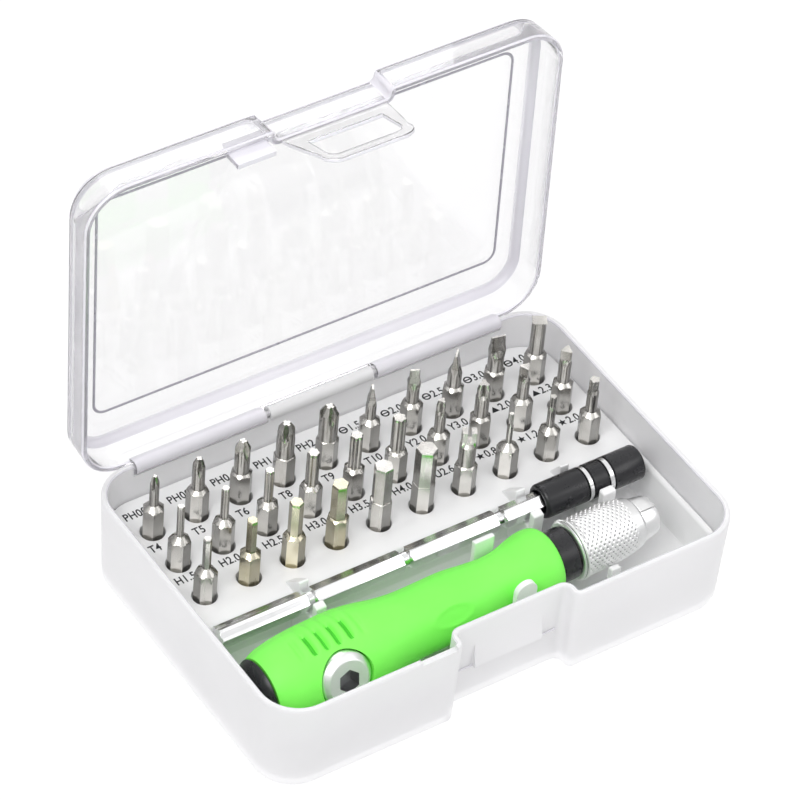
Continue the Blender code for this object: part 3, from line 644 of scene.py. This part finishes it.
def tip_radius(kind, size, shaft, angle, left):
    """Section radius where left millimetres still remain to the top."""
    if kind == "ph":
        reach = shaft * min(1.0, 0.42 + left * 0.33)
        web = shaft * (0.16 + 0.10 * min(left, 3.0))
        cross = max(bar_radius(reach, web, angle), bar_radius(reach, web, angle + math.pi / 2))
        fade = min(1.0, max(0.0, (3.9 - left) / 0.9))
        return min(shaft, shaft * (1 - fade) + cross * fade)
    if kind == "sl":
        thin = 0.22 + 0.16 * left
        wide = size / 2 if left < 2.5 else shaft
        fade = min(1.0, max(0.0, (5.0 - left) / 1.4))
        return shaft * (1 - fade) + bar_radius(wide, min(thin, wide), angle) * fade
    if kind == "post":
        return bar_radius(1.5, 1.25, angle) if left < 0.01 else min(1.5, bar_radius(1.5, 1.3, angle) + 0.1)
    if kind == "torx":
        return lobe_radius(6, size / 2, size / 2 * 0.80, angle) * (1 - 0.12 * max(0.0, 1 - left / 0.4))
    if kind == "wye":
        reach = size / 2 * (0.75 + 0.25 * min(1.0, left / 1.2))
        fade = min(1.0, max(0.0, (3.6 - left) / 1.0))
        return min(shaft, shaft * (1 - fade) + lobe_radius(3, reach, size * 0.17, angle) * fade)
    if kind == "tri":
        fade = min(1.0, max(0.0, (3.4 - left) / 0.8))
        return shaft * (1 - fade) + min(polygon_radius(3, size * 0.29, angle), shaft) * fade
    if kind == "hex":
        return polygon_radius(6, size / 2 - 0.12 * max(0.0, 1 - left / 0.35), angle)
    if kind == "fork":
        return bar_radius(1.45, 0.95, angle) if left < 3.4 else shaft
    return lobe_radius(5, size / 2, size / 2 * 0.72, angle) if left < 3.2 else shaft


def make_bit(row, column, x, y):
    kind, size = BITS[row][column]
    name = "bit_" + NAMES[row][column]
    shaft = shaft_size(kind, size)
    top = BIT_TOP - (0.5 if kind == "ph" else 0.0)
    slope = 1.15
    shoulder_end = SHOULDER_Z + (2.31 - min(shaft, 2.2)) / slope
    heights = [BIT_BOTTOM, 1.9, 6.0, 6.6, 7.4, 8.0, 12.0, 18.0]
    heights += [SHOULDER_Z + (shoulder_end - SHOULDER_Z) * i / 8 for i in range(9)]
    span = top - shoulder_end
    heights += [shoulder_end + span * t for t in TIP_STATIONS]
    count = 72
    turn = math.radians(BLADE_TURNS.get(NAMES[row][column], (row * 17 + column * 23) % 60))
    bm = bmesh.new()
    loops = []
    for z in heights:
        points = []
        for i in range(count):
            angle = TAU * i / count
            radius = polygon_radius(6, 2.0, angle)
            if z <= BIT_BOTTOM:
                radius = min(radius, 1.75)
            if 6.3 < z < 7.7:
                radius = min(radius, 1.8)
            if z > SHOULDER_Z:
                radius = min(radius, 2.31 - (z - SHOULDER_Z) * slope)
            if z >= shoulder_end - 1e-6:
                radius = tip_radius(kind, size, shaft, angle, top - z)
            points.append((x + radius * math.cos(angle + turn), y + radius * math.sin(angle + turn), z))
        loops.append(ring(bm, points))
    for low, high in zip(loops, loops[1:]):
        bridge(bm, low, high)
    fan(bm, loops[0])
    fan(bm, loops[-1])
    material = GOLD if kind == "hex" and 1.5 < size < 3.4 else BIT
    piece = finish_mesh(name + "_metal", bm, material, name + "_body", [name], smooth=25)
    if kind == "fork":
        slit = bmesh.new()
        box(slit, (-0.42, -3.0, -2.6), (0.42, 3.0, 1.0))
        cut(piece, "DIFFERENCE", slit, Matrix.Translation((x, y, top)) @ Matrix.Rotation(turn, 4, "Z"))


# ---------------------------------------------------------------- handle

def smooth_curve(points, x):
    """Monotone-looking cubic through (x, value) pairs."""
    xs = np.array([p[0] for p in points], float)
    ys = np.array([p[1] for p in points], float)
    slopes = np.gradient(ys, xs)
    k = int(np.clip(np.searchsorted(xs, x) - 1, 0, len(xs) - 2))
    h = xs[k + 1] - xs[k]
    t = min(max((x - xs[k]) / h, 0.0), 1.0)
    a, b = 2 * t ** 3 - 3 * t ** 2 + 1, t ** 3 - 2 * t ** 2 + t
    c, d = -2 * t ** 3 + 3 * t ** 2, t ** 3 - t ** 2
    return float(a * ys[k] + b * h * slopes[k] + c * ys[k + 1] + d * h * slopes[k + 1])


GRIP_PROFILE = ((-48.1, 7.0), (-46.6, 7.7), (-44.0, 8.3), (-40.0, 8.8), (-34.0, 9.0), (-28.0, 8.9),
                (-24.0, 8.35), (-20.0, 7.55), (-16.0, 7.05), (-10.0, 6.92), (-4.0, 6.85), (1.0, 6.3),
                (5.0, 6.0), (8.5, 6.25), (11.5, 7.0), (14.0, 7.52), (15.8, 7.58), (16.9, 7.33),
                (17.6, 6.88), (18.0, 6.3), (18.1, 5.9))
DIMPLE = (-7.9, 36.0)
SLIT_TURN = 23.5
GROOVES = ((-41.0, 0.4), (-38.3, 1.0), (-35.6, 1.0), (-32.9, 1.0), (-30.1, 1.0), (-27.3, 0.4))


def bell(value, centre, width):
    return math.exp(-((value - centre) / width) ** 2)


def step(value, low, high):
    t = min(max((value - low) / (high - low), 0.0), 1.0)
    return t * t * (3 - 2 * t)


def grip_radius(x, angle):
    """Grip surface: thumb grooves over the top and a shallow oval dimple in front."""
    radius = smooth_curve(GRIP_PROFILE, x)
    degrees = math.degrees(angle) % 360
    deep = step(degrees, 65, 72) * (1 - step(degrees, 96, 106))
    faint = step(degrees, 64, 74) * (1 - step(degrees, 128, 144))
    for centre, depth in GROOVES:
        radius -= depth * bell(x, centre, 0.55) * (0.78 * deep + 0.18 * faint)
        radius += 0.18 * depth * bell(x, centre + 1.37, 0.75) * max(deep, faint)
    across = math.hypot((x - DIMPLE[0]) / 3.6, (degrees - DIMPLE[1]) / 13)
    return radius - 0.3 * math.exp(-across ** 4) + 0.14 * bell(across, 1.25, 0.22)


def wrap_x(bm, stations, radius_at, count):
    """Skin of rings round X; angle runs from -Y over +Z."""
    loops = []
    for x in stations:
        points = []
        for i in range(count):
            angle = TAU * i / count
            radius = radius_at(x, angle)
            points.append((x, -radius * math.cos(angle), radius * math.sin(angle)))
        loops.append(ring(bm, points))
    for low, high in zip(loops, loops[1:]):
        bridge(bm, low, high)
    return loops


def ring_x(bm, x, radius, count):
    """Round ring about X that starts at -Y."""
    return ring(bm, [(x, -radius * math.cos(TAU * i / count), radius * math.sin(TAU * i / count))
                     for i in range(count)])


def turned(bm, profile, count=64, closed=False):
    """Revolve (x, radius) points about X; closed makes a tube, otherwise ends are capped."""
    loops = [ring_x(bm, x, r, count) for x, r in profile]
    for low, high in zip(loops, loops[1:]):
        bridge(bm, low, high)
    if closed:
        bridge(bm, loops[-1], loops[0])
    else:
        fan(bm, loops[0])
        fan(bm, loops[-1])


def disc_frame():
    turn = Matrix.Rotation(math.pi - SOCKET_TILT, 4, "X") @ Matrix.Rotation(math.pi / 2, 4, "Z")
    return HANDLE @ Matrix.Translation((SOCKET_X, 0, 0)) @ turn


def make_grip():
    bm = bmesh.new()
    stations = list(np.linspace(-48.1, -46.0, 8)) + list(np.linspace(-45.7, -24.0, 160))
    stations += list(np.linspace(-23.7, 15.0, 90)) + list(np.linspace(15.2, 17.9, 20))
    stations += [18.0, 18.05, 18.1]
    loops = wrap_x(bm, stations, grip_radius, 144)
    ends = []
    for x, loop in ((18.1, loops[-1]), (-48.1, loops[0])):
        inner = ring_x(bm, x, GRIP_BORE, 144)
        bridge(bm, loop, inner)
        ends.append(inner)
    bridge(bm, ends[0], ends[1])
    # Faces deep in the thumb grooves take the darker green: painted shade in the creases.
    for face in bm.faces:
        middle = face.calc_center_median()
        degrees = math.degrees(math.atan2(middle.z, -middle.y))
        near = max(depth * bell(middle.x, centre, 0.42) for centre, depth in GROOVES)
        if 68 < degrees < 101 and near > 0.55 and math.hypot(middle.y, middle.z) > 6.0:
            face.material_index = 1
    grip = finish_mesh("grip_overmould", bm, GREEN, "handle", ["handle_grip"], matrix=HANDLE,
                       extra=(GROOVE_SHADE,))
    seat = bmesh.new()
    turned(seat, [(3.4, 5.85), (14.0, 5.85)], 64)
    cut(grip, "DIFFERENCE", seat, disc_frame())


def make_core():
    bm = bmesh.new()
    turned(bm, [(-50.3, 4.6), (-50.28, 5.1), (-50.1, 5.6), (-49.8, 6.1), (-49.3, 6.6), (-48.8, 6.9),
                (-48.6, 6.98), (-48.5, 6.9), (-48.45, 4.2), (18.4, 4.2), (18.45, 5.3), (18.6, 5.45),
                (22.5, 5.45), (22.65, 5.3)], 96)
    finish_mesh("core_black", bm, BLACK, "handle", ["handle_core"], matrix=HANDLE)


def make_side_socket():
    bm = bmesh.new()
    turned(bm, [(5.0, 5.5), (7.9, 5.55), (8.15, 5.5), (8.3, 5.38), (9.1, 4.5), (9.25, 4.3), (9.28, 4.1)], 96)
    disc = finish_mesh("side_socket_disc", bm, ALU, "handle", ["side_socket"],
                       matrix=disc_frame(),
                       smooth=20)
    hole = bmesh.new()
    radius = 4.2 / math.sqrt(3)
    prism_x(hole, [(radius * math.cos(TAU * i / 6 + 0.35), radius * math.sin(TAU * i / 6 + 0.35))
                   for i in range(6)], 6.2, 12.0)
    cut(disc, "DIFFERENCE", hole, disc_frame())
    # Faces inside the hex hole take the painted shadow metal.
    disc.data.materials.append(PIT_SHADE)
    local = disc_frame().inverted()
    for face in disc.data.polygons:
        middle = local @ (face.center / MM)
        if math.hypot(middle.y, middle.z) < 2.5 and middle.x > 6.0:
            face.material_index = 1


CHUCK_PROFILE = ((22.95, 5.9), (23.15, 6.15), (25.0, 6.19), (30.0, 6.18), (33.0, 6.1), (35.0, 5.85),
                 (36.5, 5.58), (38.2, 5.2))
KNURL_ROWS, KNURL_PITCH = 25, 1.1


def make_chuck():
    bm = bmesh.new()
    count = 400

    def knurl(x, angle):
        edge = step(x, 23.75, 24.1) * (1 - step(x, 36.1, 36.6))
        return edge * max(0.0, math.cos(KNURL_ROWS * angle) * math.cos(TAU * x / KNURL_PITCH))

    def radius_at(x, angle):
        groove = 0.35 * bell(x, 23.45, 0.09)
        return smooth_curve(CHUCK_PROFILE, x) - groove - 0.2 * knurl(x, angle) ** 1.4

    stations = [22.95, 23.0, 23.1, 23.2, 23.3, 23.38, 23.45, 23.52, 23.6] + list(np.linspace(23.7, 36.7, 143))
    stations += [37.0, 37.5, 38.0, 38.2]
    loops = wrap_x(bm, stations, radius_at, count)
    # Knurl pits and the groove at the chuck's left edge take the painted shadow metal.
    for face in bm.faces:
        middle = face.calc_center_median()
        angle = math.atan2(middle.z, -middle.y)
        face.material_index = 1 if knurl(middle.x, angle) > 0.78 or abs(middle.x - 23.45) < 0.07 else 0
    tail = [(38.5, 5.05), (38.6, 4.85), (38.6, 3.4), (22.95, 3.4)]
    rings = [ring_x(bm, x, r, count) for x, r in tail]
    for low, high in zip([loops[-1]] + rings, rings):
        bridge(bm, low, high)
    bridge(bm, rings[-1], loops[0])
    finish_mesh("chuck_knurl", bm, ALU, "chuck", ["chuck_sleeve"], matrix=HANDLE, smooth=60,
                extra=(PIT_SHADE,))


def make_nose():
    bm = bmesh.new()
    turned(bm, [(22.95, 3.0), (38.85, 3.0), (38.9, 4.45), (39.05, 4.55), (41.0, 4.3), (42.3, 4.05),
                (42.7, 3.8), (42.95, 3.45), (43.0, 3.1)], 96)
    nose = finish_mesh("collet_metal", bm, ALU, "handle", ["collet_nose"], matrix=HANDLE,
                       smooth=28)
    hole = bmesh.new()
    radius = 4.3 / math.sqrt(3)
    prism_x(hole, circle(0, 0, radius, 6), 31.0, 48.0)
    cut(nose, "DIFFERENCE", hole, HANDLE)
    slit = bmesh.new()
    box(slit, (38.8, -0.15, 2.0), (48.0, 0.15, 6.0))
    cut(nose, "DIFFERENCE", slit, HANDLE @ Matrix.Rotation(math.radians(SLIT_TURN), 4, "X"))


# ---------------------------------------------------------------- extension

def make_rod():
    place = Matrix.Translation((0, ROD_Y, ROD_Z)) @ Matrix.Rotation(ROD_TURN, 4, "X")
    bm = bmesh.new()
    stations = [(-49.6, 1.5), (-49.2, 1.95), (-49.0, 9.0)]
    for x in (-28.5, -6.7, 15.5):
        neck = ((-1.1, 9.0), (-0.95, 2.25), (-0.75, 1.9), (-0.5, 1.6))
        stations += [(x + along, limit) for along, limit in neck]
        stations += [(x - along, limit) for along, limit in reversed(neck)]
    stations.append((33.0, 9.0))
    count = 72
    loops = []
    for x, limit in stations:
        points = []
        for i in range(count):
            angle = TAU * i / count
            radius = min(polygon_radius(6, 2.0, angle), limit)
            points.append((x, radius * math.sin(angle), radius * math.cos(angle)))
        loops.append(ring(bm, points))
    for low, high in zip(loops, loops[1:]):
        bridge(bm, low, high)
    fan(bm, loops[0])
    fan(bm, loops[-1])
    finish_mesh("rod_hex", bm, CHROME, "extension", ["extension_rod"], matrix=place, smooth=25)

    bm = bmesh.new()
    r = SLEEVE_R
    profile = [(25.2, 2.65), (25.2, 3.15), (25.35, 3.4), (25.7, 3.6), (26.1, r)]
    profile += [(35.0, r), (35.1, 3.55), (35.1, 2.95), (36.6, 2.95), (36.6, 3.55), (36.7, r)]
    profile += [(39.9, r), (40.0, 3.55), (40.0, 2.95), (41.6, 2.95), (41.6, 3.55), (41.7, r)]
    profile += [(48.3, r), (48.6, 3.55), (48.75, 3.35), (48.8, 3.1), (48.8, 2.65)]
    turned(bm, profile, 72, closed=True)
    finish_mesh("sleeve_black", bm, BLACK, "extension", ["extension_sleeve"], matrix=place)
    for name, node, low, high in (("ring_thin", "sleeve_ring_inner", 35.4, 36.3),
                                  ("ring_wide", "sleeve_ring_outer", 40.3, 41.3)):
        bm = bmesh.new()
        profile = [(low, 3.25), (low, 3.6), (low + 0.08, 3.68), (high - 0.08, 3.68), (high, 3.6),
                   (high, 3.25)]
        turned(bm, profile, 72, closed=True)
        finish_mesh(name, bm, CHROME, "extension", [node], matrix=place)


# ---------------------------------------------------------------- studio

LAMPS = (("key", (-0.45, -0.25, 0.75), 0.5, 3.1), ("fill", (0.6, -0.5, 0.5), 0.5, 1.2),
         ("back", (0.15, 0.75, 0.6), 0.6, 2.1))


def make_studio():
    bm = bmesh.new()
    bmesh.ops.create_grid(bm, x_segments=2, y_segments=2, size=2500.0)
    look = Look("studio_floor")
    look.set(Roughness=0.9, Emission_Strength=1.0)
    look.shader.inputs["Emission Color"].default_value = (1, 1, 1, 1)
    look.colour(look.noise(3.0), (0.02, 0.02, 0.02), (0.03, 0.03, 0.03))
    floor = finish_mesh("studio_floor", bm, look.material, None)

    world = bpy.data.worlds.new("studio_world")
    bpy.context.scene.world = world
    world.use_nodes = True
    tree = world.node_tree
    background = tree.nodes["Background"]
    coords = tree.nodes.new("ShaderNodeTexCoord")
    split = tree.nodes.new("ShaderNodeSeparateXYZ")
    ramp = tree.nodes.new("ShaderNodeValToRGB")
    tree.links.new(coords.outputs["Generated"], split.inputs["Vector"])
    tree.links.new(split.outputs["Z"], ramp.inputs["Fac"])
    stops = ((0.0, 0.55), (0.12, 0.45), (0.35, 0.6), (0.7, 1.0))
    while len(ramp.color_ramp.elements) < len(stops):
        ramp.color_ramp.elements.new(0.5)
    for element, (place, value) in zip(ramp.color_ramp.elements, stops):
        element.position = place
        element.color = (value, value, value, 1.0)
    tree.links.new(ramp.outputs["Color"], background.inputs["Color"])
    background.inputs["Strength"].default_value = 0.92

    for name, place, size, power in LAMPS:
        light = bpy.data.lights.new(name, "AREA")
        light.shape = "SQUARE"
        light.size = size
        light.energy = power
        lamp = bpy.data.objects.new(name, light)
        lamp.location = place
        lamp.rotation_euler = (Vector((0, 0, 0.02)) - Vector(place)).to_track_quat("-Z", "Y").to_euler()
        bpy.context.scene.collection.objects.link(lamp)


def make_camera():
    data = bpy.data.cameras.new("camera")
    data.lens = 202.3
    data.sensor_width = 36.0
    data.clip_start = 0.05
    data.clip_end = 10.0
    camera = bpy.data.objects.new("camera", data)
    camera.location = (-0.37425, -0.48928, 0.64455)
    camera.rotation_euler = (0.799625, -0.070057, -0.576445)
    bpy.context.scene.collection.objects.link(camera)
    bpy.context.scene.camera = camera


def carry_over():
    """CAD nodes that stay visible take the finished materials."""
    for node, material in (("hinge_pin", CASE), ("collet_magnet", CHROME), ("extension_magnet", CHROME)):
        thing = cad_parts[node]
        thing.data.materials.clear()
        thing.data.materials.append(material)


make_camera()
make_studio()
make_base()
make_lid()
make_panel_border()
make_tab()
make_tray()
make_clips()
make_labels()
for place in hole_places():
    make_bit(*place)
make_grip()
make_core()
make_side_socket()
make_chuck()
make_nose()
make_rod()
carry_over()
bpy.context.scene.view_settings.view_transform = "Standard"
